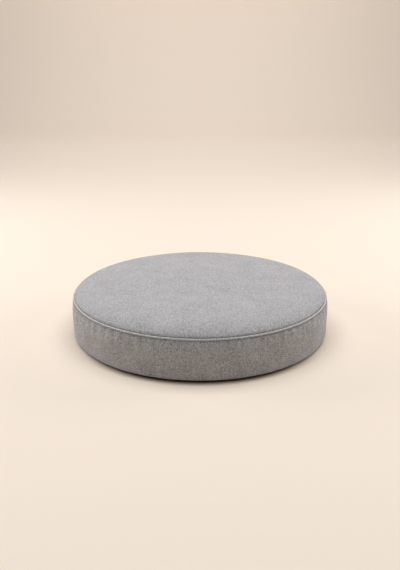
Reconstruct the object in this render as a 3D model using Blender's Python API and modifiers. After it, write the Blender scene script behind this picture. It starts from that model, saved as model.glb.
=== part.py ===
"""Round seat cushion: a filled body in a boxing band, a crowned top panel, a flat
bottom panel, and a thin covered piping sewn into the top seam.

Units are metres and +Z is up. The origin is the middle of the underside, so the
cushion stands on Z = 0. Every piece is a profile in the XZ plane turned about Z,
and the band's puckers are then drawn into the body's points.
"""

import math
import random

import bpy

COLLECTION_NAME = "round_seat_cushion"

# Driving sizes of the finished cushion
OUTER_DIAMETER = 0.600  # across the fullest part of the boxing band
SEAM_RADIUS = 0.293  # the top seam draws the band and the top panel in to this
TOP_SEAM_HEIGHT = 0.0937
EDGE_RISE = 0.015  # how far the top panel rises from its seam over its rounded edge
EDGE_REACH = 0.011  # a longer reach makes a slower, softer edge
CROWN_HEIGHT = 0.010  # the filling lifts the middle by this much more
CLOTH = 0.002  # face cloth with its backing
GAP = 0.0004  # between neighbouring pieces
PIPING_RADIUS = 0.0018
PIPING_STANDS_OUT = 0.0014  # the piping's centre runs this far outside the seam
PIPING_DROP = 0.0017  # and this far below it
UNDERSIDE_RADIUS = 0.2885
UNDERSIDE_TURN_UP = 0.004  # width over which the bottom panel turns up to its seam
UNDERSIDE_TURN_HEIGHT = 0.0006
BAND_BOTTOM_RADIUS = 0.2897  # the band is drawn in under the cushion to this
BAND_BOTTOM_HEIGHT = 0.0012
BAND_FULLNESS = 3.4  # a higher power makes a boxier side
BAND_ROUNDING = 0.40

# Puckers that hang from the top seam, each a (least, most) pair
PUCKER_SEED = 11
PUCKER_SPACING = (0.024, 0.044)
PUCKER_DEPTH = (0.0008, 0.0017)
PUCKER_LENGTH = (0.030, 0.058)
PUCKER_OVERLAP = 0.62  # half width of a pucker as a share of its spacing
PUCKER_LEAN = 0.10  # sideways drift for each unit of a pucker's length
PUCKER_FRONT_SHARE = 0.35  # the cloth pulls less at the front and the back
PUCKER_START = 0.002  # the piping holds the cloth smooth this close to it

# Smoothness of the turned pieces
BODY_STEPS = 216
TRIM_STEPS = 96
PIPING_SIDES = 6
TOP_DISTANCES = (0.293, 0.160, 0.060, 0.030, 0.017, 0.009, 0.004, 0.0)  # in from the seam
SEAT_DEGREES = (200, 230, 258, 285)  # round the piping, from behind it to below it
TURN_UP_STEPS = 2
BAND_STEPS = 9
MERGE_DISTANCE = 0.00001
SMOOTH_ANGLE = math.radians(40)
QUARTER_TURN = math.pi / 2

# Colour, roughness and metallic value of each piece
FINISHES = {
    "grey_cloth": ((0.43, 0.42, 0.43, 1.0), 0.92, 0.0),
    "grey_band": ((0.40, 0.39, 0.40, 1.0), 0.92, 0.0),
    "grey_piping": ((0.42, 0.41, 0.42, 1.0), 0.90, 0.0),
    "grey_underside": ((0.36, 0.35, 0.36, 1.0), 0.94, 0.0),
}


def clear_scene():
    """Remove every object that the file opened with."""
    for thing in list(bpy.data.objects):
        bpy.data.objects.remove(thing, do_unlink=True)


def make_collection(name):
    """Make and link the collection that holds the cushion."""
    collection = bpy.data.collections.new(name)
    bpy.context.scene.collection.children.link(collection)
    return collection


def make_material(name):
    """Make a Principled material from its row in FINISHES."""
    colour, roughness, metallic = FINISHES[name]
    material = bpy.data.materials.new(name)
    material.use_nodes = True
    shader = material.node_tree.nodes["Principled BSDF"]
    shader.inputs["Base Color"].default_value = colour
    shader.inputs["Roughness"].default_value = roughness
    shader.inputs["Metallic"].default_value = metallic
    material.diffuse_color = colour
    return material


def top_panel_curve():
    """The top panel's outer face as (radius, height), from the middle to the seam."""
    points = []
    for distance in TOP_DISTANCES:
        radius = SEAM_RADIUS - distance
        edge = EDGE_RISE * (1 - math.exp(-distance / EDGE_REACH))
        crown = CROWN_HEIGHT * (1 - (radius / SEAM_RADIUS) ** 2)
        points.append((radius, TOP_SEAM_HEIGHT + edge + crown))
    return points


def bottom_panel_curve():
    """The bottom panel's outer face as (radius, height), from its seam to the middle."""
    flat_radius = UNDERSIDE_RADIUS - UNDERSIDE_TURN_UP
    points = []
    for step in range(TURN_UP_STEPS + 1):
        angle = QUARTER_TURN * step / TURN_UP_STEPS
        radius = flat_radius + UNDERSIDE_TURN_UP * math.cos(angle)
        points.append((radius, UNDERSIDE_TURN_HEIGHT * (1 - math.sin(angle))))
    points.append((0.0, 0.0))
    return points


def inset(points, distance):
    """The same curve moved to the right of the way it runs, which is into the cushion."""
    moved = []
    for index, (radius, height) in enumerate(points):
        before = points[max(index - 1, 0)]
        after = points[min(index + 1, len(points) - 1)]
        ahead = math.hypot(after[0] - before[0], after[1] - before[1])
        sideways = (after[1] - before[1]) / ahead
        upwards = (before[0] - after[0]) / ahead
        moved_radius = max(radius + distance * sideways, 0.0)
        moved.append((moved_radius, height + distance * upwards))
    return moved


def piping_centre():
    """Radius and height of the middle of the piping."""
    return SEAM_RADIUS + PIPING_STANDS_OUT, TOP_SEAM_HEIGHT - PIPING_DROP


def piping_seat_curve():
    """The groove in the body behind and under the piping, from top to bottom."""
    centre_radius, centre_height = piping_centre()
    reach = PIPING_RADIUS + GAP
    points = []
    for degrees in SEAT_DEGREES:
        angle = math.radians(degrees)
        radius = centre_radius + reach * math.cos(angle)
        points.append((radius, centre_height + reach * math.sin(angle)))
    return points


def band_curve():
    """The boxing band's face, full at mid height and drawn in at both seams."""
    top_radius, top_height = piping_seat_curve()[-1]
    middle = (top_height + BAND_BOTTOM_HEIGHT) / 2
    half = (top_height - BAND_BOTTOM_HEIGHT) / 2
    points = []
    for step in range(BAND_STEPS + 1):
        place = math.cos(math.pi * step / BAND_STEPS)
        share = (1 + place) / 2
        edge = top_radius * share + BAND_BOTTOM_RADIUS * (1 - share)
        bulge = (1 - abs(place) ** BAND_FULLNESS) ** BAND_ROUNDING
        radius = edge + (OUTER_DIAMETER / 2 - edge) * bulge
        points.append((radius, middle + half * place))
    return points


def body_curve():
    """The filled body's whole profile, from the middle of its top to its underside's."""
    under_top = inset(top_panel_curve(), CLOTH + GAP)
    over_bottom = inset(bottom_panel_curve(), CLOTH + GAP)
    wall = UNDERSIDE_RADIUS + GAP
    recess = [(wall, BAND_BOTTOM_HEIGHT), (wall, over_bottom[0][1])]
    return under_top + piping_seat_curve()[:-1] + band_curve() + recess + over_bottom


def turned(name, curve, steps, collection, material):
    """Make an object whose profile a Screw modifier turns about Z.

    The curve lists (radius, height) points that run down the outer side.
    """
    mesh = bpy.data.meshes.new(name)
    edges = [(index, index + 1) for index in range(len(curve) - 1)]
    mesh.from_pydata([(radius, 0.0, height) for radius, height in curve], edges, [])
    mesh.materials.append(material)
    thing = bpy.data.objects.new(name, mesh)
    collection.objects.link(thing)
    screw = thing.modifiers.new("turn", "SCREW")
    screw.axis = "Z"
    screw.angle = math.tau
    screw.steps = steps
    screw.render_steps = steps
    screw.use_merge_vertices = True
    screw.merge_threshold = MERGE_DISTANCE
    screw.use_smooth_shade = True
    return thing


def add_thickness(thing):
    """Give a turned sheet the cloth's thickness, inwards from its outer face."""
    solidify = thing.modifiers.new("cloth", "SOLIDIFY")
    solidify.thickness = CLOTH
    solidify.offset = -1.0
    solidify.use_even_offset = True


def pucker_list():
    """The puckers round the top seam as (angle, half_angle, depth, length)."""
    dice = random.Random(PUCKER_SEED)
    puckers = []
    angle = 0.0
    while angle < math.tau:
        spacing = dice.uniform(*PUCKER_SPACING) / SEAM_RADIUS
        side = abs(math.cos(angle))
        share = PUCKER_FRONT_SHARE + (1 - PUCKER_FRONT_SHARE) * side
        depth = dice.uniform(*PUCKER_DEPTH) * share
        length = dice.uniform(*PUCKER_LENGTH) * (1 + share) / 2
        puckers.append((angle, spacing * PUCKER_OVERLAP, depth, length))
        angle += spacing
    return puckers


def pucker_depth(puckers, angle, below_seam):
    """How far the cloth is drawn in at an angle, this far below the piping."""
    held = min(below_seam / PUCKER_START, 1.0)
    depth = 0.0
    for middle, half_angle, deepest, length in puckers:
        leaning = middle + PUCKER_LEAN * below_seam / SEAM_RADIUS
        away = abs((angle - leaning + math.pi) % math.tau - math.pi)
        if below_seam < length and away < half_angle:
            across = (1 + math.cos(math.pi * away / half_angle)) / 2
            fading = math.cos(QUARTER_TURN * below_seam / length)
            depth += deepest * across * held * fading
    return depth


def draw_in_puckers(mesh):
    """Move the band's points inwards along the puckers below the top seam."""
    puckers = pucker_list()
    top_height = band_curve()[0][1]
    for vertex in mesh.vertices:
        radius = math.hypot(vertex.co.x, vertex.co.y)
        below_seam = top_height - vertex.co.z
        if radius < SEAM_RADIUS or below_seam <= 0:
            continue
        angle = math.atan2(vertex.co.y, vertex.co.x)
        share = 1 - pucker_depth(puckers, angle, below_seam) / radius
        vertex.co.x *= share
        vertex.co.y *= share


def make_body(collection):
    """The filled body with its boxing band, as one solid."""
    material = make_material("grey_band")
    plain = turned("plain_body", body_curve(), BODY_STEPS, collection, material)
    evaluated = plain.evaluated_get(bpy.context.evaluated_depsgraph_get())
    mesh = bpy.data.meshes.new_from_object(evaluated)
    bpy.data.objects.remove(plain, do_unlink=True)
    mesh.name = "boxed_body"
    draw_in_puckers(mesh)
    mesh.set_sharp_from_angle(angle=SMOOTH_ANGLE)
    body = bpy.data.objects.new("boxed_body", mesh)
    collection.objects.link(body)


def make_top_panel(collection):
    """The round top panel, crowned and rolled down into the seam."""
    material = make_material("grey_cloth")
    panel = turned("top_panel", top_panel_curve(), TRIM_STEPS, collection, material)
    add_thickness(panel)


def make_bottom_panel(collection):
    """The round bottom panel, flat where it rests and turned up at its plain seam."""
    material = make_material("grey_underside")
    panel = turned("bottom_panel", bottom_panel_curve(), TRIM_STEPS, collection, material)
    add_thickness(panel)


def make_piping(collection):
    """The covered piping cord, a ring that lies in the top seam."""
    radius, height = piping_centre()
    bpy.ops.mesh.primitive_torus_add(
        location=(0.0, 0.0, height),
        major_segments=TRIM_STEPS,
        minor_segments=PIPING_SIDES,
        major_radius=radius,
        minor_radius=PIPING_RADIUS,
    )
    piping = bpy.context.object
    piping.name = "piping"
    piping.data.name = "piping"
    piping.data.materials.append(make_material("grey_piping"))
    piping.data.shade_smooth()
    for holder in list(piping.users_collection):
        holder.objects.unlink(piping)
    collection.objects.link(piping)


def main():
    """Build the cushion's four pieces."""
    clear_scene()
    collection = make_collection(COLLECTION_NAME)
    make_body(collection)
    make_top_panel(collection)
    make_bottom_panel(collection)
    make_piping(collection)


main()
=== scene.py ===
"""The looks of the round seat cushion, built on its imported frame.

One cover is turned from the cushion's profile and blown up by its filling while its seams
are held. It is then cut into its panels, and the piping and the top-stitching finish it.
All sizes are metres, +Z is up, and the cushion stands on Z = 0 with its front at -Y.
"""

from __future__ import annotations

import logging
import math
import random
from dataclasses import dataclass, field
from enum import Enum
from typing import Callable, Mapping, Sequence, Union

import bpy
import numpy as np
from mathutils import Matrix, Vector

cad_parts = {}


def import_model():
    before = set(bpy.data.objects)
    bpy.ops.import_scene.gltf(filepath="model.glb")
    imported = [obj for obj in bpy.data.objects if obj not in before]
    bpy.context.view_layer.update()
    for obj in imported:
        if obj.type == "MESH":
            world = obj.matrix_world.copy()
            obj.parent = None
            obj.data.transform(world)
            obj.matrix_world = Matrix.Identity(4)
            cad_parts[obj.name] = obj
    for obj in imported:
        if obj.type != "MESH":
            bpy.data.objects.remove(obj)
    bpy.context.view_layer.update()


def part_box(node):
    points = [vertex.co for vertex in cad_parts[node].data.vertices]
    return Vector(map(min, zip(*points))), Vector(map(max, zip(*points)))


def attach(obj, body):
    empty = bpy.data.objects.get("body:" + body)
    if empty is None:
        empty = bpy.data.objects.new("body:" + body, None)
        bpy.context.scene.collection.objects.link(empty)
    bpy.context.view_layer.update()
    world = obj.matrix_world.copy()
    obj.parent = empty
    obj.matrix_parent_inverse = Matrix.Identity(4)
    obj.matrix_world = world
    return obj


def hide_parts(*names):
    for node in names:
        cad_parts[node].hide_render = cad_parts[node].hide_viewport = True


LOG = logging.getLogger("round_seat_cushion")
PLAN_MAP = "cloth_plan"
ALONG = "along"
BODY_NAME = "root"
MERGE_DISTANCE = 0.000001
NEARLY_NOUGHT = 1e-9  # keeps a division safe
CUT_MARGIN = 1e-7  # keeps a panel's own edge points when it is cut out
MIDDLE_SLACK = 1.02  # how much wider than a middle hole its rim may be
MIDDLE_BAND = 0.006  # the points of one middle hole lie within this height
PAINTED_SHADE = (0.05, 0.05, 0.052)  # painted shade: what a colour fades to in a needle hole and in the groove behind the piping

Number = Union[int, float]
Colour = tuple[float, float, float]
Point = tuple[float, float, float]
Span = tuple[float, float]
Tint = Union[Colour, bpy.types.NodeSocket]


# ---------------------------------------------------------------- shader maths


def maths_method(operation: str, swapped: bool = False) -> Callable[..., "Signal"]:
    """Write a Signal method that adds one Math node.

    Args:
        operation: Blender's name for the operation.
        swapped: whether the other value is the first operand.

    Returns:
        The method.
    """

    def method(self: "Signal", *others: "Value") -> "Signal":
        """Add the node and hand back its result."""
        return self.nodes.maths(operation, *((*others, self) if swapped else (self, *others)))

    return method


class Signal:
    """A value that varies over a surface; arithmetic on it adds Math nodes."""

    def __init__(self, nodes: "Nodes", socket: bpy.types.NodeSocket) -> None:
        """Keep the node builder and the socket that carries the value."""
        self.nodes = nodes
        self.socket = socket

    __add__ = maths_method("ADD")
    __radd__ = maths_method("ADD", swapped=True)
    __sub__ = maths_method("SUBTRACT")
    __rsub__ = maths_method("SUBTRACT", swapped=True)
    __mul__ = maths_method("MULTIPLY")
    __rmul__ = maths_method("MULTIPLY", swapped=True)
    __truediv__ = maths_method("DIVIDE")
    __pow__ = maths_method("POWER")
    floor = maths_method("FLOOR")
    fraction = maths_method("FRACT")
    cosine = maths_method("COSINE")
    size = maths_method("ABSOLUTE")
    at_least = maths_method("MAXIMUM")
    above = maths_method("GREATER_THAN")

    def between(self, low: Number, high: Number) -> "Signal":
        """Rise smoothly from 0 to 1, and stay there outside two values.

        Args:
            low: up to here it is 0.
            high: from here on it is 1.

        Returns:
            The risen value.
        """
        ramp = self.nodes.add(
            "ShaderNodeMapRange",
            {"interpolation_type": "SMOOTHSTEP", "clamp": True},
            {"Value": self, "From Min": low, "From Max": high},
        )
        return Signal(self.nodes, ramp.outputs["Result"])


Value = Union[Signal, Number]


class Nodes:
    """Builds one material's node tree."""

    def __init__(self, name: str) -> None:
        """Start an empty material.

        Args:
            name: the material's name.
        """
        self.material = bpy.data.materials.new(name)
        self.material.use_nodes = True
        self.tree = self.material.node_tree
        self.tree.nodes.clear()

    def add(
        self,
        kind: str,
        settings: Mapping[str, object] | None = None,
        sockets: Mapping[str, object] | None = None,
    ) -> bpy.types.Node:
        """Add a node.

        Args:
            kind: Blender's name for the type of node.
            settings: the node's own settings, set first.
            sockets: what each input holds or is linked to, by identifier or name.

        Returns:
            The new node.
        """
        node = self.tree.nodes.new(kind)
        for name, value in (settings or {}).items():
            setattr(node, name, value)
        inputs = {socket.identifier: socket for socket in node.inputs}
        for name, value in (sockets or {}).items():
            self.feed(inputs.get(name, node.inputs.get(name)), value)
        return node

    def feed(self, socket: bpy.types.NodeSocket, value: object) -> None:
        """Link or set one input.

        Args:
            socket: the input.
            value: a Signal, an output socket, or a plain value.
        """
        source = value.socket if isinstance(value, Signal) else value
        if isinstance(source, bpy.types.NodeSocket):
            self.tree.links.new(source, socket)
        else:
            socket.default_value = source

    def maths(self, operation: str, *values: Value) -> Signal:
        """Add a Math node.

        Args:
            operation: Blender's name for the operation.
            values: its operands, in order.

        Returns:
            The node's result.
        """
        node = self.add("ShaderNodeMath", {"operation": operation})
        for socket, value in zip(node.inputs, values):
            self.feed(socket, value)
        return Signal(self, node.outputs[0])

    def vector(self, x: Value, y: Value, z: Value = 0.0) -> bpy.types.NodeSocket:
        """Join three values into a vector."""
        return self.add("ShaderNodeCombineXYZ", {}, {"X": x, "Y": y, "Z": z}).outputs["Vector"]

    def first_two(self, vector: bpy.types.NodeSocket) -> tuple[Signal, Signal]:
        """Take a vector's first two values."""
        split = self.add("ShaderNodeSeparateXYZ", {}, {"Vector": vector})
        return Signal(self, split.outputs["X"]), Signal(self, split.outputs["Y"])

    def plan(self) -> tuple[Signal, Signal]:
        """Read the cloth's own coordinates in metres from its plan map."""
        return self.first_two(self.add("ShaderNodeUVMap", {"uv_map": PLAN_MAP}).outputs["UV"])

    def noise(self, where: bpy.types.NodeSocket, scale: float, detail: float) -> Signal:
        """Add smooth noise from 0 to 1.

        Args:
            where: the coordinates it is laid out on.
            scale: how many cells there are to each unit of them.
            detail: how many finer layers it has.

        Returns:
            The noise.
        """
        node = self.add(
            "ShaderNodeTexNoise",
            {"noise_dimensions": "3D"},
            {"Vector": where, "Scale": scale, "Detail": detail, "Roughness": 0.55},
        )
        return Signal(self, node.outputs[0])

    def mixed(self, first: Tint, second: Tint, share: Signal) -> bpy.types.NodeSocket:
        """Mix two colours.

        Args:
            first: the colour, or its socket, where share is 0.
            second: the colour, or its socket, where share is 1.
            share: how much of the second there is.

        Returns:
            The mixed colour's socket.
        """
        tints = [(*tint, 1.0) if isinstance(tint, tuple) else tint for tint in (first, second)]
        mix = self.add(
            "ShaderNodeMix",
            {"data_type": "RGBA", "clamp_factor": True},
            {"Factor_Float": share, "A_Color": tints[0], "B_Color": tints[1]},
        )
        return mix.outputs[2]  # the node's colour; its first two are a number and a vector

    def bumped(
        self, height: Signal, distance: float, under: bpy.types.NodeSocket | None = None
    ) -> bpy.types.NodeSocket:
        """Turn a height into a bumped normal.

        Args:
            height: the relief, from 0 to 1.
            distance: how high 1 stands.
            under: a normal that this relief is laid over, if any.

        Returns:
            The normal's socket.
        """
        sockets = {"Height": height, "Distance": distance, "Strength": 1.0}
        if under is not None:
            sockets["Normal"] = under
        return self.add("ShaderNodeBump", {}, sockets).outputs["Normal"]

    def finish(self, sockets: Mapping[str, object]) -> bpy.types.Material:
        """Close the tree with a Principled shader.

        Args:
            sockets: what the shader's inputs hold or are linked to.

        Returns:
            The finished material.
        """
        shader = self.add("ShaderNodeBsdfPrincipled", {}, sockets)
        self.add("ShaderNodeOutputMaterial", {}, {"Surface": shader.outputs["BSDF"]})
        return self.material


# ------------------------------------------------------------------- finishes


@dataclass(frozen=True)
class NeedleHoles:
    """Where the top-stitching pierces a cloth, in the cloth's own coordinates: a dent with painted
    shade in each hole.
    """

    pitch: float
    line: float
    length: float = 0.0014
    width: float = 0.0010
    core: float = 0.3
    shade: float = 0.75
    depth: float = 0.0006

    def mask(self, around: Signal, down: Signal) -> Signal:
        """Find how far into a hole each place lies.

        Args:
            around: distance round the band.
            down: distance down the band.

        Returns:
            1 in the middle of a hole, fading to 0.
        """
        beside = ((around / self.pitch + 0.5).fraction() - 0.5).size() * self.pitch
        below = (down - self.line).size()
        along_line = 1.0 - beside.between(self.length * self.core, self.length)
        return along_line * (1.0 - below.between(self.width * self.core, self.width))


@dataclass(frozen=True)
class PaintedGrooveShade:
    """Painted shade on the edge of a round panel, in the groove in front of the part that the
    piping hides.
    """

    flat_radius: float
    hidden: float = 0.003
    width: float = 0.003
    shade: float = 0.225
    depth: float = 0.0

    def mask(self, u: Signal, v: Signal) -> Signal:
        """Rise from 0 to 1 over the edge's width."""
        outer = self.flat_radius - self.hidden
        return ((u * u + v * v) ** 0.5).between(outer - self.width, outer)


@dataclass(frozen=True)
class Noise:
    """One kind of unevenness. Noises of different layers don't resemble each other."""

    cells: float
    detail: float
    layer: float = 0.0

    def over(self, nodes: Nodes, x: Value, y: Value) -> Signal:
        """Lay the noise out on two coordinates."""
        return nodes.noise(nodes.vector(x, y, self.layer), self.cells, self.detail)


@dataclass(frozen=True)
class Grain:
    """A cloth's unevenness. A fleck, a streak and a drift are longer than they are wide."""

    lumps: Noise = Noise(260.0, 3.0)
    fuzz: Noise = Noise(35.0, 2.0)
    speck: Noise = Noise(430.0, 1.5, 0.5)
    patch: Noise = Noise(22.0, 4.0, 0.9)
    warp_fleck: Noise = Noise(1.0, 1.0, 1.3)
    weft_fleck: Noise = Noise(1.0, 1.0, 9.1)
    fleck_cells: float = 240.0
    yarn_step: float = 3.7
    streak: Noise = Noise(1.0, 2.0, 5.2)
    streak_cells: tuple[float, float] = (260.0, 22.0)
    warp_drift: Noise = Noise(4.0, 2.0, 3.1)
    weft_drift: Noise = Noise(4.0, 2.0, 7.7)
    drift_cells: tuple[float, float] = (30.0, 9.0)


@dataclass(frozen=True)
class WovenCloth:
    """A matt plain-weave upholstery cloth of flecked grey yarn."""

    name: str
    dark: Colour = (0.216, 0.205, 0.206)
    light: Colour = (0.590, 0.586, 0.598)
    yarn: float = 0.00125
    relief: float = 0.00022
    lumps: float = 0.00018
    wander: float = 0.35
    swing: float = 0.38
    weave_shade: float = 0.14
    tone: float = 0.54
    fleck: float = 1.25
    mottle: float = 0.78
    patches: float = 0.34
    streaks: float = 0.0
    roughness: float = 0.88
    fuzz: float = 0.10
    sheen: float = 0.05
    turn: float = 0.0
    marks: tuple[Union[NeedleHoles, PaintedGrooveShade], ...] = ()
    grain: Grain = Grain()

    def make(self) -> bpy.types.Material:
        """Build the cloth's material.

        Returns:
            A material laid out on the piece's plan map.
        """
        nodes = Nodes(self.name)
        u, v = nodes.plan()
        if self.turn:
            cosine, sine = math.cos(self.turn), math.sin(self.turn)
            u, v = u * cosine - v * sine, u * sine + v * cosine
        across, along = self.yarn_counts(nodes, u, v)
        warp = self.yarn_height(across, along, -math.pi / 2)
        weft = self.yarn_height(along, across, math.pi / 2)
        weave = warp.at_least(weft)
        flecked = self.flecked(nodes, (u, v), (across, along), warp.above(weft))
        share = flecked + self.mottled(nodes, u, v) + self.tone
        # painted shade between the yarns: the colour is darker where the weave lies lowest
        relief = 1.0 - self.weave_shade + self.weave_shade * weave
        colour = nodes.mixed(self.dark, self.light, share * relief)
        lumps = nodes.bumped(self.grain.lumps.over(nodes, u, v), self.lumps)
        normal = nodes.bumped(weave, self.relief, lumps)
        # painted shade: each mark darkens the colour towards near black; a needle hole is also
        # dented
        for mark in self.marks:
            marked = mark.mask(u, v)
            colour = nodes.mixed(colour, PAINTED_SHADE, mark.shade * marked)
            if mark.depth:
                normal = nodes.bumped(1.0 - marked, mark.depth, normal)
        return nodes.finish(
            {
                "Base Color": colour,
                "Roughness": self.roughness + self.fuzz * (self.grain.fuzz.over(nodes, u, v) - 0.5),
                "Normal": normal,
                "Sheen Weight": self.sheen,
                "Sheen Roughness": 0.55,
                "Specular IOR Level": 0.22,
            }
        )

    def yarn_counts(self, nodes: Nodes, u: Signal, v: Signal) -> tuple[Signal, Signal]:
        """Count yarns over the plan, letting them wander a little.

        Args:
            nodes: the material's builder.
            u: distance across the warp.
            v: distance along the warp.

        Returns:
            The warp yarn's count and the weft yarn's count.
        """
        short, long = self.grain.drift_cells
        drift_u = self.grain.warp_drift.over(nodes, u * short, v * long) - 0.5
        drift_v = self.grain.weft_drift.over(nodes, u * long, v * short) - 0.5
        reach = 2.0 * self.wander
        return u / self.yarn + drift_u * reach, v / self.yarn + drift_v * reach

    def yarn_height(self, own: Signal, crossed: Signal, lag: float) -> Signal:
        """Find how high one set of yarns stands in the plain weave.

        Args:
            own: the count of these yarns.
            crossed: the count of the yarns that they cross.
            lag: how far their swing over and under is shifted.

        Returns:
            Their height, from 0 to 1.
        """
        rounded = 1.0 - ((own.fraction() - 0.5) * 2.0) ** 2.0
        swing = ((crossed + own.floor()) * math.pi + lag).cosine()
        return rounded * (1.0 - self.swing + self.swing * swing)

    def flecked(
        self,
        nodes: Nodes,
        place: tuple[Signal, Signal],
        counts: tuple[Signal, Signal],
        warp_on_top: Signal,
    ) -> Signal:
        """Find how much lighter or darker than the cloth the yarn on top is.

        Args:
            nodes: the material's builder.
            place: distances across and along the warp.
            counts: the warp yarn's count and the weft yarn's count.
            warp_on_top: 1 where the warp shows.

        Returns:
            What it adds to the share of the light colour.
        """
        grain = self.grain
        (u, v), (across, along) = place, counts
        warp = grain.warp_fleck.over(nodes, across.floor() * grain.yarn_step, v * grain.fleck_cells)
        weft = grain.weft_fleck.over(nodes, u * grain.fleck_cells, along.floor() * grain.yarn_step)
        fleck = warp * warp_on_top + weft * (1.0 - warp_on_top)
        return (fleck - 0.5) * (2.0 * self.fleck)

    def mottled(self, nodes: Nodes, u: Signal, v: Signal) -> Signal:
        """Find how much lighter or darker the cloth is in specks, patches and streaks.

        Args:
            nodes: the material's builder.
            u: distance across the warp.
            v: distance along the warp.

        Returns:
            What they add to the share of the light colour.
        """
        speck = self.grain.speck.over(nodes, u, v) - 0.5
        patch = self.grain.patch.over(nodes, u, v) - 0.5
        mottled = speck * (2.0 * self.mottle) + patch * self.patches
        if self.streaks:
            narrow, long = self.grain.streak_cells
            streak = self.grain.streak.over(nodes, u * narrow, v * long) - 0.5
            mottled = mottled + streak * (2.0 * self.streaks)
        return mottled


@dataclass(frozen=True)
class SewingThread:
    """A matt twisted thread."""

    name: str
    dark: Colour = (0.27, 0.265, 0.27)
    light: Colour = (0.50, 0.495, 0.50)
    twist: float = 1100.0
    slant: float = 1.4
    ply_share: float = 0.6
    relief: float = 0.00008
    fleck: Noise = Noise(900.0, 1.0)

    def make(self) -> bpy.types.Material:
        """Build the thread's material, with its twist as fine ridges and painted shade in their
        grooves.

        Returns:
            A material laid out on the thread's plan map.
        """
        nodes = Nodes(self.name)
        u, v = nodes.plan()
        ply = ((u * self.twist + v * (self.twist * self.slant)).cosine() + 1.0) * 0.5
        fleck = self.fleck.over(nodes, u, v)
        # partly painted shade in the grooves between plies, partly the thread's own random fleck
        tone = ply * self.ply_share + fleck * (1.0 - self.ply_share)
        return nodes.finish(
            {
                "Base Color": nodes.mixed(self.dark, self.light, tone),
                "Roughness": 0.72 + 0.1 * fleck,
                "Normal": nodes.bumped(ply, self.relief),
                "Specular IOR Level": 0.3,
            }
        )


@dataclass(frozen=True)
class PaleFloor:
    """The studio's plain, warm, pale floor, with a painted contact shadow along the cushion's
    front.
    """

    name: str = "pale_floor"
    colour: Colour = (0.85, 0.74, 0.63)
    # the colour of the painted contact shadow, warm and dark
    contact_shadow: Colour = (0.16, 0.115, 0.075)
    contact_shadow_radii: Span = (0.2945, 0.3160)
    contact_shadow_ends: Span = (0.45, 1.0)

    def make(self) -> bpy.types.Material:
        """Build a matt material whose painted contact shadow only the camera sees, so it takes no
        light away.

        Returns:
            The floor's material.
        """
        nodes = Nodes(self.name)
        x, y = nodes.first_two(nodes.add("ShaderNodeNewGeometry").outputs["Position"])
        reach = (x * x + y * y) ** 0.5
        front = (0.0 - y / reach).between(*self.contact_shadow_ends)
        seen = Signal(nodes, nodes.add("ShaderNodeLightPath").outputs["Is Camera Ray"])
        # painted contact shadow: darker close round the cushion's front edge, for camera rays only
        share = front * seen * (1.0 - reach.between(*self.contact_shadow_radii))
        pale = nodes.mixed(self.colour, self.contact_shadow, share)
        return nodes.finish({"Base Color": pale, "Roughness": 0.95, "Specular IOR Level": 0.1})


# ------------------------------------------------------------- shape of the form


@dataclass(frozen=True)
class CushionSizes:
    """The cushion's main sizes in metres."""

    outer_radius: float
    seam_radius: float
    seam_height: float
    top_height: float
    underside_radius: float
    band_bottom_height: float
    cloth: float = 0.002
    gap: float = 0.0004
    piping_radius: float = 0.0021
    piping_stands_out: float = 0.0014
    piping_drop: float = 0.0020
    seam_below_piping: float = 0.0001
    edge_rise: float = 0.0158
    edge_reach: float = 0.012
    band_bottom_lip: float = 0.0008
    undercut: float = 0.0014
    filling_push: float = 0.0010
    stitches: int = 300

    @classmethod
    def from_frame(cls) -> "CushionSizes":
        """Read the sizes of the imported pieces.

        Returns:
            The sizes that every piece of the looks is made to.
        """
        body_low, body_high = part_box("boxed_body")
        top_high, underside_high, piping_high = (
            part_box(node)[1] for node in ("top_panel", "bottom_panel", "piping")
        )
        return cls(
            outer_radius=max(body_high.x, body_high.y, -body_low.x, -body_low.y),
            seam_radius=top_high.y,
            seam_height=piping_high.z - cls.seam_below_piping,
            top_height=top_high.z,
            underside_radius=underside_high.y,
            band_bottom_height=body_low.z + cls.undercut,
        )

    @property
    def piping_centre(self) -> tuple[float, float]:
        """Radius and height of the middle of the piping."""
        return self.seam_radius + self.piping_stands_out, self.seam_height - self.piping_drop

    @property
    def crown(self) -> float:
        """How far the filling lifts the middle above the rounded edge."""
        return max(self.top_height - self.seam_height - self.edge_rise, 0.0)

    @property
    def band_bottom_radius(self) -> float:
        """Radius to which the band is drawn in under the cushion."""
        return self.underside_radius + self.gap + self.band_bottom_lip

    @property
    def stitch_pitch(self) -> float:
        """Distance between stitches, measured round the seam."""
        return math.tau * self.seam_radius / self.stitches

    def beside_piping(self, degrees: float, gaps: float = 1.0) -> tuple[float, float]:
        """Find a point beside the piping.

        Args:
            degrees: direction from the piping's middle; 0 is outwards and 90 is up.
            gaps: how many gaps it lies away from the piping's face.

        Returns:
            Radius and height.
        """
        radius, height = self.piping_centre
        angle, reach = math.radians(degrees), self.piping_radius + gaps * self.gap
        return radius + reach * math.cos(angle), height + reach * math.sin(angle)


class Panel(Enum):
    """The parts of the cover, in the order in which its profile runs."""

    TOP = "top_cover"
    SEAM = "seam_allowance"
    BAND = "boxing_band"
    UNDERSIDE = "bottom_cover"


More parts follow.
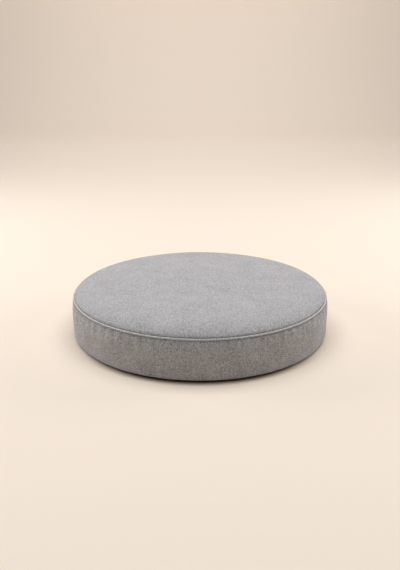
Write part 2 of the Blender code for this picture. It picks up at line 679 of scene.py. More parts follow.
@dataclass(frozen=True)
class CoverProfile:
    """The cushion's outline from the middle of its top round to that of its underside."""

    sizes: CushionSizes
    open_middle: float = 0.012
    top_rings: int = 14
    edge_spread: float = 2.3
    tuck: float = 0.0026
    tuck_reach: float = 0.0006
    tuck_rings: tuple[float, ...] = (0.0020, 0.0013, 0.0008, 0.00045, 0.0002, 0.0)
    tuck_start: float = 0.0032
    top_seat_degrees: tuple[float, ...] = (146, 168, 190)
    seam_seat_degrees: tuple[float, ...] = (210, 235, 260, 282)
    lip_degrees: float = 300.0
    lip_gaps: float = 0.5
    band_samples: int = 1200
    band_rings: int = 26
    band_evenness: float = 0.20
    band_spread: float = 1.6
    band_fullness: float = 3.4
    band_rounding: float = 0.40
    base_fullness: float = 6.0
    base_rounding: float = 0.14
    stitch_drop: float = 0.0012
    stitch_dimple: float = 0.0005
    stitch_dimple_width: float = 0.0009
    underside_turn_up: float = 0.018
    underside_turn_height: float = 0.0022
    turn_up_steps: int = 3
    flat_rings: tuple[float, ...] = (0.93, 0.6, 0.3)

    def top_points(self) -> list[Span]:
        """Draw the top panel: a crowned middle, a rounded edge and the tuck behind the piping.

        Returns:
            Radii and heights.
        """
        sizes = self.sizes
        reach = sizes.seam_radius - self.open_middle - self.tuck_start
        rounds = range(self.top_rings + 1)
        shares = [(1 - step / self.top_rings) ** self.edge_spread for step in rounds]
        distances = [self.tuck_start + reach * share for share in shares]
        points = []
        for distance in (*distances, *self.tuck_rings):
            radius = sizes.seam_radius - distance
            edge = (sizes.edge_rise - self.tuck) * (1 - math.exp(-distance / sizes.edge_reach))
            edge += self.tuck * (1 - math.exp(-distance / self.tuck_reach))
            crown = sizes.crown * (1 - (radius / sizes.seam_radius) ** 2)
            points.append((radius, sizes.seam_height + edge + crown))
        return points + [sizes.beside_piping(degrees) for degrees in self.top_seat_degrees]

    def band_outline(self) -> tuple[np.ndarray, np.ndarray]:
        """Draw the band's outline, closely sampled.

        Returns:
            Radii and heights from the piping down to the underside's seam.
        """
        sizes = self.sizes
        top_radius, top_height = self.lip
        middle = (top_height + sizes.band_bottom_height) / 2
        half = (top_height - sizes.band_bottom_height) / 2
        place = np.cos(np.linspace(0, math.pi, self.band_samples))
        share = (1 + place) / 2
        edge = top_radius * share + sizes.band_bottom_radius * (1 - share)
        fullness = np.where(place > 0, self.band_fullness, self.base_fullness)
        rounding = np.where(place > 0, self.band_rounding, self.base_rounding)
        bulge = (1 - np.abs(place) ** fullness) ** rounding
        height = middle + half * place
        radius = edge + (sizes.outer_radius - sizes.filling_push - edge) * bulge
        away = (height - self.stitch_height) / self.stitch_dimple_width
        return radius - self.stitch_dimple * np.exp(-(away**2)), height

    @property
    def lip(self) -> tuple[float, float]:
        """Radius and height at which the band leaves the piping."""
        return self.sizes.beside_piping(self.lip_degrees, self.lip_gaps)

    @property
    def stitch_height(self) -> float:
        """Height of the row of top-stitching."""
        return self.lip[1] - self.stitch_drop

    def stitch_radius(self) -> float:
        """Find the radius of the band's face under the top-stitching.

        Returns:
            The radius.
        """
        radius, height = self.band_outline()
        upper = height[: self.band_samples // 2]
        return float(radius[np.argmin(np.abs(upper - self.stitch_height))])

    def band_points(self) -> list[Span]:
        """Draw the band, with rings close together by the stitching and wider apart below it.

        Returns:
            Radii and heights.
        """
        radius, height = self.band_outline()
        run = np.concatenate([[0.0], np.cumsum(np.hypot(np.diff(radius), np.diff(height)))])
        share = np.linspace(0, 1, self.band_rings + 1)
        even = self.band_evenness
        spaced = run[-1] * (even * share + (1 - even) * share**self.band_spread)
        return list(zip(np.interp(spaced, run, radius), np.interp(spaced, run, height)))

    def underside_points(self) -> list[Span]:
        """Draw the underside, turned up a little at its seam and flat on the floor.

        Returns:
            Radii and heights.
        """
        flat = self.sizes.underside_radius - self.underside_turn_up
        points = []
        for step in range(self.turn_up_steps + 1):
            angle = math.pi / 2 * step / self.turn_up_steps
            height = self.underside_turn_height * (1 - math.sin(angle))
            points.append((flat + self.underside_turn_up * math.cos(angle), height))
        points.extend((flat * share, 0.0) for share in self.flat_rings)
        return points + [(self.open_middle, 0.0)]

    def stations(self) -> tuple[np.ndarray, dict[Panel, Span]]:
        """Lay the whole profile out in order.

        Returns:
            Rows of radius, height and distance along the profile, and where each panel
            starts and ends along it.
        """
        groove = [self.sizes.beside_piping(degrees) for degrees in self.seam_seat_degrees]
        runs = {
            Panel.TOP: self.top_points(),
            Panel.SEAM: groove,
            Panel.BAND: self.band_points(),
            Panel.UNDERSIDE: self.underside_points(),
        }
        rows = np.array([point for run in runs.values() for point in run])
        steps = np.hypot(*np.diff(rows, axis=0).T)
        along = np.concatenate([[0.0], np.cumsum(steps)]) + self.open_middle
        spans, first = {}, 0
        for panel, run in runs.items():
            last = first + len(run) - 1
            spans[panel] = (float(along[first]), float(along[last]))
            first = last + 1
        return np.column_stack([rows, along]), spans


@dataclass(frozen=True)
class Pucker:
    """One pucker that hangs from the top seam."""

    angle: float
    half_angle: float
    depth: float
    length: float
    lean: float


@dataclass(frozen=True)
class PuckerRule:
    """How puckers are spaced and sized round the seam, each a (least, most) pair."""

    seed: int
    spacing: Span
    depth: Span
    length: Span
    overlap: float
    lean: float
    front_share: float = 0.5

    def puckers(self, seam_radius: float) -> list[Pucker]:
        """Place puckers right round the seam.

        Args:
            seam_radius: the seam's radius.

        Returns:
            The puckers, in order.
        """
        dice = random.Random(self.seed)
        found, angle = [], 0.0
        while angle < math.tau:
            spacing = dice.uniform(*self.spacing) / seam_radius
            share = self.front_share + (1 - self.front_share) * abs(math.cos(angle))
            depth = dice.uniform(*self.depth) * share
            length = dice.uniform(*self.length) * (1 + share) / 2
            found.append(Pucker(angle, spacing * self.overlap, depth, length, self.lean))
            angle += spacing
        return found


@dataclass(frozen=True)
class PuckerField:
    """All the puckers of the band: the main ones and the finer ones between them."""

    rules: tuple[PuckerRule, ...] = (
        PuckerRule(11, (0.014, 0.027), (0.0010, 0.0022), (0.018, 0.046), overlap=0.52, lean=0.10),
        PuckerRule(29, (0.007, 0.014), (0.0002, 0.0007), (0.008, 0.022), overlap=0.5, lean=-0.06),
    )
    held_for: float = 0.0015
    sharpness: float = 2.4

    def depth(self, angle: np.ndarray, below: np.ndarray, seam_radius: float) -> np.ndarray:
        """Find how far the cloth is drawn in.

        Args:
            angle: angles round the cushion.
            below: distances below the piping.
            seam_radius: the seam's radius.

        Returns:
            The depth at each place.
        """
        total = np.zeros_like(angle)
        held = np.clip(below / self.held_for, 0.0, 1.0)
        for rule in self.rules:
            for pucker in rule.puckers(seam_radius):
                leaning = pucker.angle + pucker.lean * below / seam_radius
                away = np.abs((angle - leaning + math.pi) % math.tau - math.pi)
                away = np.clip(away / pucker.half_angle, 0.0, 1.0)
                across = np.cos(away * math.pi / 2) ** self.sharpness
                fading = np.cos(np.clip(below / pucker.length, 0.0, 1.0) * math.pi / 2)
                total += pucker.depth * across * fading * held
        return total


@dataclass(frozen=True)
class Unevenness:
    """The slow, slight unevenness of a form that is filled by hand."""

    seed: int = 5
    waves: int = 9
    height: float = 0.0016
    longest: float = 0.34
    shortest: float = 0.09

    def lift(self, x: np.ndarray, y: np.ndarray) -> np.ndarray:
        """Find how far the surface stands above its even shape.

        Args:
            x: places across the cushion.
            y: places along the cushion.

        Returns:
            The lift at each place, about nought on average.
        """
        dice = random.Random(self.seed)
        total = np.zeros_like(x)
        for _ in range(self.waves):
            length = dice.uniform(self.shortest, self.longest)
            heading = dice.uniform(0.0, math.tau)
            phase = dice.uniform(0.0, math.tau)
            run = (x * math.cos(heading) + y * math.sin(heading)) * math.tau / length
            total += np.sin(run + phase) * length / self.longest
        return total * self.height / math.sqrt(self.waves)


# ----------------------------------------------------------- making and cutting


def activate(piece: bpy.types.Object | None = None) -> None:
    """Leave edit mode and make a piece the only one selected.

    Args:
        piece: the piece to work on, or none.
    """
    if bpy.context.object is not None and bpy.context.object.mode != "OBJECT":
        bpy.ops.object.mode_set(mode="OBJECT")
    bpy.ops.object.select_all(action="DESELECT")
    if piece is not None:
        piece.select_set(True)
        bpy.context.view_layer.objects.active = piece


def linked(name: str, data: bpy.types.ID) -> bpy.types.Object:
    """Put a mesh, a light or a camera into the scene.

    Args:
        name: the new object's name.
        data: what it holds.

    Returns:
        The object.
    """
    made = bpy.data.objects.new(name, data)
    bpy.context.scene.collection.objects.link(made)
    return made


def read_values(source: object, name: str, count: int, kind: type = float) -> np.ndarray:
    """Read one value, or one row of values, from each item of a Blender collection.

    Args:
        source: the collection.
        name: the property's name.
        count: how many values there are in all.
        kind: the type of the values.

    Returns:
        The values, in order.
    """
    values = np.zeros(count, dtype=kind)
    source.foreach_get(name, values)
    return values


def points_of(piece: bpy.types.Object) -> np.ndarray:
    """Read a mesh piece's points as rows of x, y and z."""
    points = piece.data.vertices
    return read_values(points, "co", 3 * len(points)).reshape(-1, 3)


def along_of(piece: bpy.types.Object) -> np.ndarray:
    """Read how far along the profile each point of a turned piece lies."""
    return read_values(piece.data.attributes[ALONG].data, "value", len(piece.data.vertices))


def radius_of(points: np.ndarray) -> np.ndarray:
    """Find each point's distance from the cushion's axis."""
    return np.hypot(points[:, 0], points[:, 1])


def move_points(piece: bpy.types.Object, points: np.ndarray) -> None:
    """Put a mesh piece's points at new places."""
    piece.data.vertices.foreach_set("co", points.astype(np.float32).ravel())
    piece.data.update()


def corners_of(mesh: bpy.types.Mesh) -> tuple[np.ndarray, np.ndarray, np.ndarray]:
    """Read the corners of a mesh's faces.

    Args:
        mesh: the mesh.

    Returns:
        Each corner's point, each face's first corner and how many corners it has.
    """
    corner = read_values(mesh.loops, "vertex_index", len(mesh.loops), np.int64)
    starts = read_values(mesh.polygons, "loop_start", len(mesh.polygons), np.int64)
    return corner, starts, np.diff(np.append(starts, len(corner)))


def largest_of_face(values: np.ndarray, mesh: bpy.types.Mesh) -> np.ndarray:
    """Find the largest of a face's corner values, for each of its corners."""
    _, starts, counts = corners_of(mesh)
    return np.repeat(np.maximum.reduceat(values, starts), counts)


def unwrapped(angle: np.ndarray, mesh: bpy.types.Mesh) -> np.ndarray:
    """Let the angles of a face's corners run on past a full turn.

    Args:
        angle: each point's angle, from nought to a full turn.
        mesh: the mesh.

    Returns:
        Each corner's angle.
    """
    turned = angle[corners_of(mesh)[0]]
    behind = largest_of_face(turned, mesh) - turned > math.pi
    return np.where(behind, turned + math.tau, turned)


def write_plan(mesh: bpy.types.Mesh, plan: np.ndarray) -> None:
    """Give a mesh its plan map, in place of any map that it has.

    Args:
        mesh: the mesh.
        plan: a row for each corner, in metres.
    """
    while mesh.uv_layers:
        mesh.uv_layers.remove(mesh.uv_layers[0])
    layer = mesh.uv_layers.new(name=PLAN_MAP)
    layer.data.foreach_set("uv", plan.astype(np.float32).ravel())


def choose_points(piece: bpy.types.Object, chosen: np.ndarray) -> None:
    """Go into edit mode with only some points selected.

    Args:
        piece: the piece to edit.
        chosen: whether each point is selected.
    """
    activate(piece)
    bpy.ops.object.mode_set(mode="EDIT")
    bpy.ops.mesh.select_mode(type="VERT")
    bpy.ops.mesh.select_all(action="DESELECT")
    bpy.ops.object.mode_set(mode="OBJECT")
    piece.data.vertices.foreach_set("select", chosen)
    bpy.ops.object.mode_set(mode="EDIT")


def close_middles(piece: bpy.types.Object) -> None:
    """Close the small round holes in a turned piece's middle, and plan their cloth.

    Args:
        piece: the turned piece.
    """
    points = points_of(piece)
    rim = radius_of(points).min() * MIDDLE_SLACK
    inner = points[radius_of(points) <= rim, 2]
    for height in sorted({round(float(value), 2) for value in inner}):
        points = points_of(piece)
        near = np.abs(points[:, 2] - height) < MIDDLE_BAND
        choose_points(piece, near & (radius_of(points) <= rim))
        bpy.ops.mesh.edge_face_add()
        bpy.ops.mesh.poke()
        bpy.ops.object.mode_set(mode="OBJECT")
    mesh = piece.data
    places = points_of(piece)[corners_of(mesh)[0]]
    closed = largest_of_face(radius_of(places), mesh) <= rim
    plan = read_values(mesh.uv_layers[PLAN_MAP].data, "uv", 2 * len(places)).reshape(-1, 2)
    write_plan(mesh, np.where(closed[:, None], places[:, :2], plan))


def apply_modifier(piece: bpy.types.Object, kind: str, settings: Mapping[str, object]) -> None:
    """Add a modifier to a piece, apply it and shade the piece smooth.

    Args:
        piece: the piece.
        kind: Blender's name for the type of modifier.
        settings: the modifier's settings.
    """
    modifier = piece.modifiers.new(kind.lower(), kind)
    for name, value in settings.items():
        setattr(modifier, name, value)
    activate(piece)
    bpy.ops.object.modifier_apply(modifier=modifier.name)
    piece.data.shade_smooth()


def spun(name: str, stations: np.ndarray, steps: int) -> bpy.types.Object:
    """Turn a profile about Z.

    Args:
        name: the new piece's name.
        stations: rows of radius, height and distance along the profile.
        steps: how many segments there are round the piece.

    Returns:
        The turned piece, which carries each point's distance along the profile.
    """
    mesh = bpy.data.meshes.new(name)
    edges = [(row, row + 1) for row in range(len(stations) - 1)]
    mesh.from_pydata([(0.0, radius, height) for radius, height, _ in stations], edges, [])
    mesh.attributes.new(ALONG, "FLOAT", "POINT").data.foreach_set("value", stations[:, 2])
    piece = linked(name, mesh)
    activate(piece)
    bpy.ops.object.mode_set(mode="EDIT")
    bpy.ops.mesh.select_all(action="SELECT")
    bpy.ops.mesh.spin(steps=steps, angle=math.tau, center=(0.0, 0.0, 0.0), axis=(0.0, 0.0, 1.0))
    bpy.ops.mesh.select_all(action="SELECT")
    bpy.ops.mesh.remove_doubles(threshold=MERGE_DISTANCE)
    bpy.ops.mesh.normals_make_consistent(inside=False)
    bpy.ops.object.mode_set(mode="OBJECT")
    return piece


def lay_plan(piece: bpy.types.Object, spans: Mapping[Panel, Span]) -> None:
    """Lay each panel of a turned cover flat on its plan map, in metres.

    Rounds lie about their middles. The band lies along its length, and its ends meet at
    the back.

    Args:
        piece: the turned cover, before it is filled.
        spans: where each panel starts and ends along the profile.
    """
    mesh = piece.data
    points, along = points_of(piece), along_of(piece)
    radius, band_start = radius_of(points), spans[Panel.BAND][0]
    corner, starts, counts = corners_of(mesh)
    angle = unwrapped(np.arctan2(points[:, 0], points[:, 1]) % math.tau, mesh)
    face_along = np.repeat(np.add.reduceat(along[corner], starts) / counts, counts)
    seam_radius = radius[np.argmin(np.abs(along - band_start))]
    last = along.max() + along.min()
    flat_radius = np.where(along < last / 2, along, last - along)
    rounds = points[:, :2] * (flat_radius / np.maximum(radius, NEARLY_NOUGHT))[:, None]
    in_band = (face_along > spans[Panel.TOP][1]) & (face_along < spans[Panel.UNDERSIDE][0])
    band_plan = np.column_stack([angle * seam_radius, along[corner] - band_start])
    write_plan(mesh, np.where(in_band[:, None], band_plan, rounds[corner]))


@dataclass(frozen=True)
class Filling:
    """How the filling blows the sewn cover up while its seams are held."""

    pressure: float = 1.0
    frames: int = 20
    tension: float = 80.0
    compression: float = 40.0
    bending: float = 0.3
    damping: float = 2.0
    mass: float = 0.02
    top_hold: float = 0.3
    gather: float = 0.024
    gather_depth: float = 0.04
    most: float = 0.006

    def blow_up(self, cover: bpy.types.Object, held: np.ndarray, gathered: np.ndarray) -> None:
        """Simulate the cover as cloth and keep the result.

        Args:
            cover: the turned cover.
            held: how firmly each point is held, from 0 to 1.
            gathered: how much fuller than its seam the cloth is cut at each point.
        """
        start = points_of(cover)
        self.weigh(cover, "held", held)
        self.weigh(cover, "ungathered", 1.0 - gathered)
        cloth = cover.modifiers.new("filling", "CLOTH")
        for name, value in {
            "quality": 5,
            "mass": self.mass,
            "tension_stiffness": self.tension,
            "compression_stiffness": self.compression,
            "shear_stiffness": 0.5 * self.compression,
            "bending_stiffness": self.bending,
            "air_damping": self.damping,
            "use_pressure": True,
            "uniform_pressure_force": self.pressure,
            "vertex_group_mass": "held",
            "vertex_group_shrink": "ungathered",
            "shrink_min": -self.gather,
            "shrink_max": 0.0,
        }.items():
            setattr(cloth.settings, name, value)
        cloth.settings.effector_weights.gravity = 0.0
        cloth.collision_settings.use_collision = False
        cloth.point_cache.frame_start = 1
        cloth.point_cache.frame_end = self.frames
        for frame in range(1, self.frames + 1):
            bpy.context.scene.frame_set(frame)
        activate(cover)
        bpy.ops.object.modifier_apply(modifier=cloth.name)
        bpy.context.scene.frame_set(1)
        moved = points_of(cover) - start
        length = np.linalg.norm(moved, axis=1)
        share = self.most * np.tanh(length / self.most) / np.maximum(length, NEARLY_NOUGHT)
        move_points(cover, start + moved * share[:, None])
        LOG.info("filling moved the cover by up to %.1f mm", 1000 * float(length.max()))

    @staticmethod
    def weigh(cover: bpy.types.Object, name: str, weights: np.ndarray) -> None:
        """Write one weight for each point into a vertex group.

        Args:
            cover: the piece.
            name: the group's name.
            weights: the weights, in the order of the points.
        """
        group = cover.vertex_groups.new(name=name)
        rounded = np.round(weights, 2)
        for weight in np.unique(rounded[rounded > 0]):
            group.add(np.flatnonzero(rounded == weight).tolist(), float(weight), "REPLACE")


@dataclass
class SewnCover:
    """The whole cover as one turned form, before it is cut into its panels."""

    sizes: CushionSizes
    profile: CoverProfile
    puckers: PuckerField = PuckerField()
    unevenness: Unevenness = Unevenness()
    filling: Filling = Filling()
    steps: int = 360
    form: bpy.types.Object = field(init=False)
    spans: dict[Panel, Span] = field(init=False)
    band_swell: float = 0.5
    band_margin: float = 0.03
    top_margin: float = 0.05
    seam_hold: float = 0.002
    floor_hold: float = 0.004

    def make(self) -> bpy.types.Object:
        """Turn, pucker and fill the cover.

        Returns:
            The cover as one open mesh, with its plan map.
        """
        stations, self.spans = self.profile.stations()
        self.form = spun("sewn_cover", stations, self.steps)
        lay_plan(self.form, self.spans)
        self.draw_in()
        self.fill()
        return self.form

    def zones(self) -> tuple[np.ndarray, np.ndarray, np.ndarray]:
        """Sort the cover's points.

        Returns:
            How far below the piping each lies, whether it is in the top, and whether it is
            in the band.
        """
        along = along_of(self.form)
        first, last = self.spans[Panel.BAND]
        below = self.profile.lip[1] - points_of(self.form)[:, 2]
        return below, along < self.spans[Panel.TOP][1], (along >= first) & (along <= last)

    def draw_in(self) -> None:
        """Draw the puckers into the band and make the filled form slightly uneven."""
        points = points_of(self.form)
        below, top, band = self.zones()
        radius = np.maximum(radius_of(points), NEARLY_NOUGHT)
        angle = np.arctan2(points[:, 1], points[:, 0])
        outward = points[:, :2] / radius[:, None]
        depth = np.where(band, self.puckers.depth(angle, below, self.sizes.seam_radius), 0.0)
        swell = self.unevenness.lift(points[:, 0], points[:, 1] + points[:, 2])
        margin = self.band_margin
        free = np.clip(below / margin, 0, 1) * np.clip(points[:, 2] / margin, 0, 1)
        stretch = np.where(band, self.band_swell * swell * free, 0.0) - depth
        points[:, :2] += outward * stretch[:, None]
        loose = np.clip((self.sizes.seam_radius - radius) / self.top_margin, 0.0, 1.0)
        points[:, 2] += np.where(top, swell * loose, 0.0)
        move_points(self.form, points)

    def fill(self) -> None:
        """Hold the seams, the middle and the underside, and let the filling push."""
        points = points_of(self.form)
        below, top, band = self.zones()
        free_top = top & (radius_of(points) < self.sizes.seam_radius - self.seam_hold)
        free_band = band & (below > self.seam_hold) & (points[:, 2] > self.floor_hold)
        held = np.where(free_top, self.filling.top_hold, 1.0)
        held = np.where(free_band, 0.0, held)
        gathered = np.clip(1 - below / self.filling.gather_depth, 0.0, 1.0) * band
        self.filling.blow_up(self.form, held, gathered)

    def flat_radius(self, panel: Panel) -> float:
        """Radius of a round panel laid flat."""
        first, last = self.spans[panel]
        return last - first + self.profile.open_middle

    def stitch_line(self) -> float:
        """Find how far down the band's plan the stitching runs.

        Returns:
            The distance below the band's upper edge.
        """
        height, along = points_of(self.form)[:, 2], along_of(self.form)
        first, last = self.spans[Panel.BAND]
        upper = (along >= first) & (along <= (first + last) / 2)
        nearest = np.argmin(np.abs(height[upper] - self.profile.stitch_height))
        return float(along[upper][nearest] - first)

    def cut(self, panel: Panel) -> bpy.types.Object:
        """Cut one panel out of the cover.

        Args:
            panel: which panel.

        Returns:
            The panel's cloth, open at its edges.
        """
        first, last = self.spans[panel]
        piece = linked(panel.value, self.form.data.copy())
        along = along_of(piece)
        choose_points(piece, (along < first - CUT_MARGIN) | (along > last + CUT_MARGIN))
        bpy.ops.mesh.delete(type="VERT")
        bpy.ops.object.mode_set(mode="OBJECT")
        return piece

    def filled_body(self) -> bpy.types.Object:
        """Make the filled form: the band, closed above and below under the panels.

        Returns:
            A closed piece.
        """
        piece = linked("filled_band", self.form.data.copy())
        points, along = points_of(piece), along_of(piece)
        normals = read_values(piece.data.vertex_normals, "vector", points.size)
        covered = (along <= self.spans[Panel.TOP][1]) | (along >= self.spans[Panel.UNDERSIDE][0])
        inset = (self.sizes.cloth + self.sizes.gap) * covered
        move_points(piece, points - normals.reshape(-1, 3) * inset[:, None])
        return piece


# --------------------------------------------------------------------- the pieces


@dataclass
class Cushion:
    """The cushion's soft pieces: its panels, its filled band, piping and stitching."""

    sizes: CushionSizes

    def build(self) -> list[bpy.types.Object]:
        """Make and dress every piece.

        Returns:
            The finished pieces.
        """
        profile = CoverProfile(self.sizes)
        cover = SewnCover(self.sizes, profile)
        form = cover.make()
        # painted shade in the groove behind the piping, on the top cloth's edge
        edge = PaintedGrooveShade(cover.flat_radius(Panel.TOP))
        top_cloth = WovenCloth("top_cloth", fleck=1.1, mottle=0.7, marks=(edge,))
        dark, light = (0.20, 0.190, 0.191), (0.55, 0.546, 0.556)
        base_cloth = WovenCloth("underside_cloth", dark, light)
        pieces = [
            self.make_round(cover, Panel.TOP, top_cloth, "top_panel"),
            self.make_band(cover),
            self.make_round(cover, Panel.UNDERSIDE, base_cloth, "bottom_panel"),
            Piping(self.sizes).make(),
            TopStitching(self.sizes, profile).make(),
        ]
        bpy.data.objects.remove(form, do_unlink=True)
        return pieces

    def make_round(
        self, cover: SewnCover, panel: Panel, cloth: WovenCloth, node: str
    ) -> bpy.types.Object:
        """Make the top panel or the bottom panel.

        Args:
            cover: the filled cover it is cut from.
            panel: which panel.
            cloth: its finish.
            node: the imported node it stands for.

        Returns:
            The finished piece.
        """
        piece = cover.cut(panel)
        apply_modifier(piece, "SUBSURF", {"levels": 1, "render_levels": 1})
        close_middles(piece)
        thickness = {"thickness": self.sizes.cloth, "offset": -1.0, "use_even_offset": True}
        apply_modifier(piece, "SOLIDIFY", thickness)
        piece.data.materials.append(cloth.make())
        flat = 2 * cover.flat_radius(panel)
        return joined_to_body(piece, node)

    def make_band(self, cover: SewnCover) -> bpy.types.Object:
        """Make the filled form inside its boxing band.

        The band's cloth is a little more streaked along its warp and a little darker than the
        top's, as painted shade, and the stitching pierces it.

        Args:
            cover: the filled cover it is made from.

        Returns:
            The finished piece.
        """
        piece = cover.filled_body()
        apply_modifier(piece, "SUBSURF", {"levels": 1, "render_levels": 1})
        close_middles(piece)
        cloth = WovenCloth(
            "band_cloth",
            # the top's cloth made 4% darker: painted shade for the upright band, which gets less
            # light
            dark=(0.208, 0.198, 0.199),
            light=(0.566, 0.562, 0.573),
            fleck=1.4,
            patches=0.5,
            streaks=0.2,
            sheen=0.14,
            marks=(NeedleHoles(pitch=self.sizes.stitch_pitch, line=cover.stitch_line()),),
        )
        piece.data.materials.append(cloth.make())
        return joined_to_body(piece, "boxed_body")


@dataclass
class Piping:
    """The thin covered cord in the top seam."""

    sizes: CushionSizes
    steps: int = 256
    sides: int = 12
    slimness: float = 0.97
    twist_ripple: float = 0.035
    twists: int = 211
    swell_ripple: float = 0.025
    swells: int = 97
    swell_start: float = 2.0

    def make(self) -> bpy.types.Object:
        """Make and dress the piping.

        Returns:
            The finished piece.
        """
        radius, height = self.sizes.piping_centre
        activate()
        bpy.ops.mesh.primitive_torus_add(
            location=(0.0, 0.0, height),
            major_segments=self.steps,
            minor_segments=self.sides,
            major_radius=radius,
            minor_radius=self.sizes.piping_radius,
        )
        piece = bpy.context.object
        piece.name = "covered_piping"
        bpy.ops.object.transform_apply(location=True, rotation=False, scale=False)
        ring, cord = (unwrapped(angle, piece.data) for angle in self.around(points_of(piece)))
        reach = (self.sizes.seam_radius, self.sizes.piping_radius)
        write_plan(piece.data, np.column_stack([ring, cord]) * reach)
        self.make_uneven(piece)
        piece.data.shade_smooth()
        # the piping's cloth is lighter than the panels': a painted highlight for the ridge that
        # catches the overhead light
        dark, light = (0.33, 0.323, 0.33), (0.71, 0.700, 0.71)
        bias = math.radians(45)
        cloth = WovenCloth("piping_cloth", dark, light, yarn=0.0009, turn=bias, relief=0.00015)
        piece.data.materials.clear()
        piece.data.materials.append(cloth.make())
        return joined_to_body(piece, "piping")

    def around(self, points: np.ndarray) -> tuple[np.ndarray, np.ndarray]:
        """Find each point's angles round the seam and round the cord.

        Args:
            points: rows of x, y and z.

        Returns:
            Both angles, in radians.
        """
        radius, height = self.sizes.piping_centre
        ring = np.arctan2(points[:, 0], points[:, 1]) % math.tau
        cord = np.arctan2(points[:, 2] - height, radius_of(points) - radius) % math.tau
        return ring, cord

    def make_uneven(self, piece: bpy.types.Object) -> None:
        """Let the cord's thickness vary slightly, as bias cloth does round a cord.

        Args:
            piece: the piping.
        """
        points = points_of(piece)
        ring, cord = self.around(points)
        radius, height = self.sizes.piping_centre
        centre = np.column_stack([np.sin(ring) * radius, np.cos(ring) * radius])
        twist = self.twist_ripple * np.sin(self.twists * ring + cord)
        swell = self.swell_ripple * np.sin(self.swells * ring + self.swell_start)
        share = (self.slimness + (twist + swell))[:, None]
        points[:, :2] = centre + (points[:, :2] - centre) * share
        points[:, 2] = height + (points[:, 2] - height) * share[:, 0]
        move_points(piece, points)


@dataclass
class TopStitching:
    """The row of stitches just below the piping, each stitch its own short thread."""

    sizes: CushionSizes
    profile: CoverProfile
    seed: int = 3
    thread_radius: float = 0.00036
    stitch_share: float = 0.80
    sides: int = 6
    rings: int = 7
    slimming: float = 0.35
    dive: float = 0.0007
    tilt: float = 0.05
    stray_out: float = 0.00005
    stray_up: float = 0.00012

    def make(self) -> bpy.types.Object:
        """Model one stitch, repeat it round the seam and dress the row.

        Returns:
            The finished piece.
        """
        stitch = self.one_stitch()
        points, faces, plan = self.row(stitch)
        bpy.data.objects.remove(stitch, do_unlink=True)
        mesh = bpy.data.meshes.new("top_stitching")
        mesh.from_pydata(points.tolist(), [], faces)
        mesh.validate()
        write_plan(mesh, plan[corners_of(mesh)[0]])
        piece = linked("top_stitching", mesh)
        piece.data.shade_smooth()
        piece.data.materials.append(SewingThread("grey_thread").make())
        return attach(piece, BODY_NAME)

    def one_stitch(self) -> bpy.types.Object:
        """Model a stitch along X: a short thread, rounded, with both ends diving down -Y.

        Returns:
            The stitch.
        """
        length = self.sizes.stitch_pitch * self.stitch_share
        activate()
        bpy.ops.mesh.primitive_cylinder_add(
            vertices=self.sides,
            radius=self.thread_radius,
            depth=length,
            end_fill_type="TRIFAN",
            rotation=(0.0, math.pi / 2, 0.0),
        )
        stitch = bpy.context.object
        bpy.ops.object.transform_apply(location=False, rotation=True, scale=False)
        bpy.ops.object.mode_set(mode="EDIT")
        for step in range(1, self.rings):
            place = length * (step / self.rings - 0.5)
            bpy.ops.mesh.select_all(action="SELECT")
            bpy.ops.mesh.bisect(plane_co=(place, 0.0, 0.0), plane_no=(1.0, 0.0, 0.0))
        bpy.ops.object.mode_set(mode="OBJECT")
        points = points_of(stitch)
        share = np.abs(points[:, 0]) / (length / 2)
        slim = 1.0 - self.slimming * share**3
        points[:, 1] = points[:, 1] * slim - self.dive * share**4
        points[:, 2] *= slim
        move_points(stitch, points)
        return stitch

    def row(self, stitch: bpy.types.Object) -> tuple[np.ndarray, list[list[int]], np.ndarray]:
        """Repeat the stitch right round the seam.

        Args:
            stitch: the stitch, along X.

        Returns:
            The row's points, its faces and its plan coordinates.
        """
        x, y, z = points_of(stitch).T
        sides = [list(face.vertices) for face in stitch.data.polygons]
        reach = self.profile.stitch_radius() + 0.5 * self.thread_radius
        dice = random.Random(self.seed)
        points, faces, plan = [], [], []
        for number in range(self.sizes.stitches):
            angle = math.tau * (number + 0.5) / self.sizes.stitches
            tilt = dice.uniform(-self.tilt, self.tilt)
            run = x * math.cos(tilt) - z * math.sin(tilt)
            rise = x * math.sin(tilt) + z * math.cos(tilt)
            turned = angle + run / reach
            radius = reach + y + dice.uniform(-self.stray_out, self.stray_out)
            stray = dice.uniform(-self.stray_up, self.stray_up)
            height = self.profile.stitch_height + rise + stray
            across, along = np.sin(turned) * radius, np.cos(turned) * radius
            points.append(np.column_stack([across, along, height]))
            faces.extend([[len(x) * number + index for index in face] for face in sides])
            plan.append(np.column_stack([turned * reach, z]))
        return np.concatenate(points), faces, np.concatenate(plan)


def joined_to_body(piece: bpy.types.Object, node: str) -> bpy.types.Object:
    """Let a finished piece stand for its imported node.

    Args:
        piece: the finished piece.
        node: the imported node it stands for.

    Returns:
        The piece.
    """
    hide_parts(node)
    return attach(piece, BODY_NAME)


# ------------------------------------------------------------------------ studio


@dataclass(frozen=True)
class SoftLight:
    """One white soft box."""

    name: str
    place: Point
    aim: Point
    width: float
    depth: float
    power: float

    def hang(self) -> bpy.types.Object:
        """Add the light and aim it.

        Returns:
            The light.
        """
        data = bpy.data.lights.new(self.name, "AREA")
        data.shape = "RECTANGLE"
        data.size = self.width
        data.size_y = self.depth
        data.energy = self.power
        light = linked(self.name, data)
        light.location = self.place
        heading = Vector(self.aim) - Vector(self.place)
        light.rotation_euler = heading.to_track_quat("-Z", "Y").to_euler()
        return light


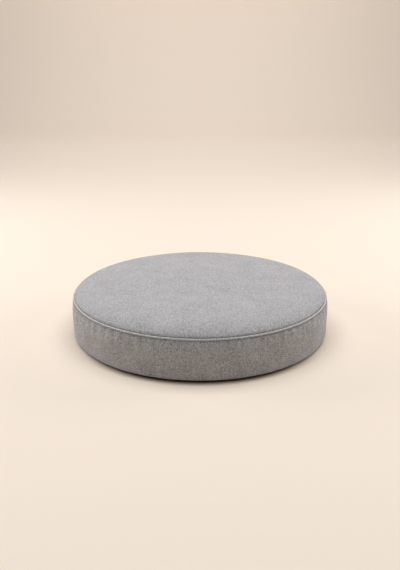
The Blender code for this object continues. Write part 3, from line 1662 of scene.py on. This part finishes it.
@dataclass(frozen=True)
class Studio:
    """A pale floor that sweeps up behind the cushion, soft light and the camera."""

    floor_half: float = 6.0
    sweep_height: float = 4.0
    sweep_radius: float = 1.5
    sweep_steps: int = 12
    camera_distance: float = 1.4484
    camera_height: float = 0.5952
    camera_pitch: float = math.radians(18.72)
    focal_length: float = 40.74
    film_width: float = 36.0
    lights: tuple[SoftLight, ...] = (
        SoftLight("overhead_box", (0.0, 0.15, 3.6), (0.0, 0.0, 0.0), 4.6, 3.4, 143.0),
        SoftLight("left_box", (-2.2, 0.65, 0.8), (0.0, 0.0, 0.1), 1.2, 1.0, 22.0),
        SoftLight("right_box", (2.2, 0.8, 0.8), (0.0, 0.0, 0.1), 1.2, 1.0, 20.5),
        SoftLight("wall_wash", (0.0, 3.4, 3.4), (0.0, 6.0, 1.0), 5.0, 0.8, 85.0),
    )
    sky: Colour = (0.97, 0.97, 1.0)
    sky_strength: float = 0.13

    def build(self) -> None:
        """Lay the floor, hang the lights and set the camera."""
        self.lay_floor()
        for light in self.lights:
            light.hang()
        self.light_sky()
        self.set_camera()

    def lay_floor(self) -> None:
        """Draw a plane's back edge up into a wall, with a rounded sweep between them."""
        activate()
        bpy.ops.mesh.primitive_plane_add(size=2 * self.floor_half)
        floor = bpy.context.object
        floor.name = "studio_floor"
        self.choose_back_edge(floor)
        bpy.ops.mesh.extrude_region_move(
            TRANSFORM_OT_translate={"value": (0.0, 0.0, self.sweep_height)}
        )
        self.choose_back_edge(floor)
        bpy.ops.mesh.bevel(offset=self.sweep_radius, segments=self.sweep_steps, affect="EDGES")
        bpy.ops.object.mode_set(mode="OBJECT")
        floor.data.shade_smooth()
        floor.data.materials.append(PaleFloor().make())

    @staticmethod
    def choose_back_edge(floor: bpy.types.Object) -> None:
        """Go into edit mode with only the ends of the floor's own back edge selected.

        Args:
            floor: the floor.
        """
        activate(floor)
        points = points_of(floor)
        choose_points(floor, (points[:, 1] > 0) & (points[:, 2] < MERGE_DISTANCE))

    def light_sky(self) -> None:
        """Set the even light from all round."""
        world = bpy.data.worlds.new("studio_air")
        world.use_nodes = True
        shader = world.node_tree.nodes["Background"]
        shader.inputs["Color"].default_value = (*self.sky, 1.0)
        shader.inputs["Strength"].default_value = self.sky_strength
        bpy.context.scene.world = world

    def set_camera(self) -> None:
        """Stand the camera in front of the cushion, looking down at it."""
        data = bpy.data.cameras.new("studio_camera")
        data.lens = self.focal_length
        data.sensor_width = self.film_width
        camera = linked("studio_camera", data)
        camera.location = (0.0, -self.camera_distance, self.camera_height)
        camera.rotation_euler = (math.pi / 2 - self.camera_pitch, 0.0, 0.0)
        scene = bpy.context.scene
        scene.camera = camera
        scene.view_settings.view_transform = "Standard"
        scene.view_settings.look = "None"


def report(pieces: Sequence[bpy.types.Object]) -> None:
    """Log each finished piece with its number of faces."""
    for piece in pieces:
        LOG.info("%s: %d faces", piece.name, len(piece.data.polygons))


def main() -> None:
    """Build the cushion and its studio."""
    logging.basicConfig(level=logging.INFO, format="%(name)s: %(message)s")
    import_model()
    sizes = CushionSizes.from_frame()
    LOG.info("outer radius %.4f m, top at %.4f m", sizes.outer_radius, sizes.top_height)
    report(Cushion(sizes).build())
    Studio().build()


if __name__ == "__main__":
    main()
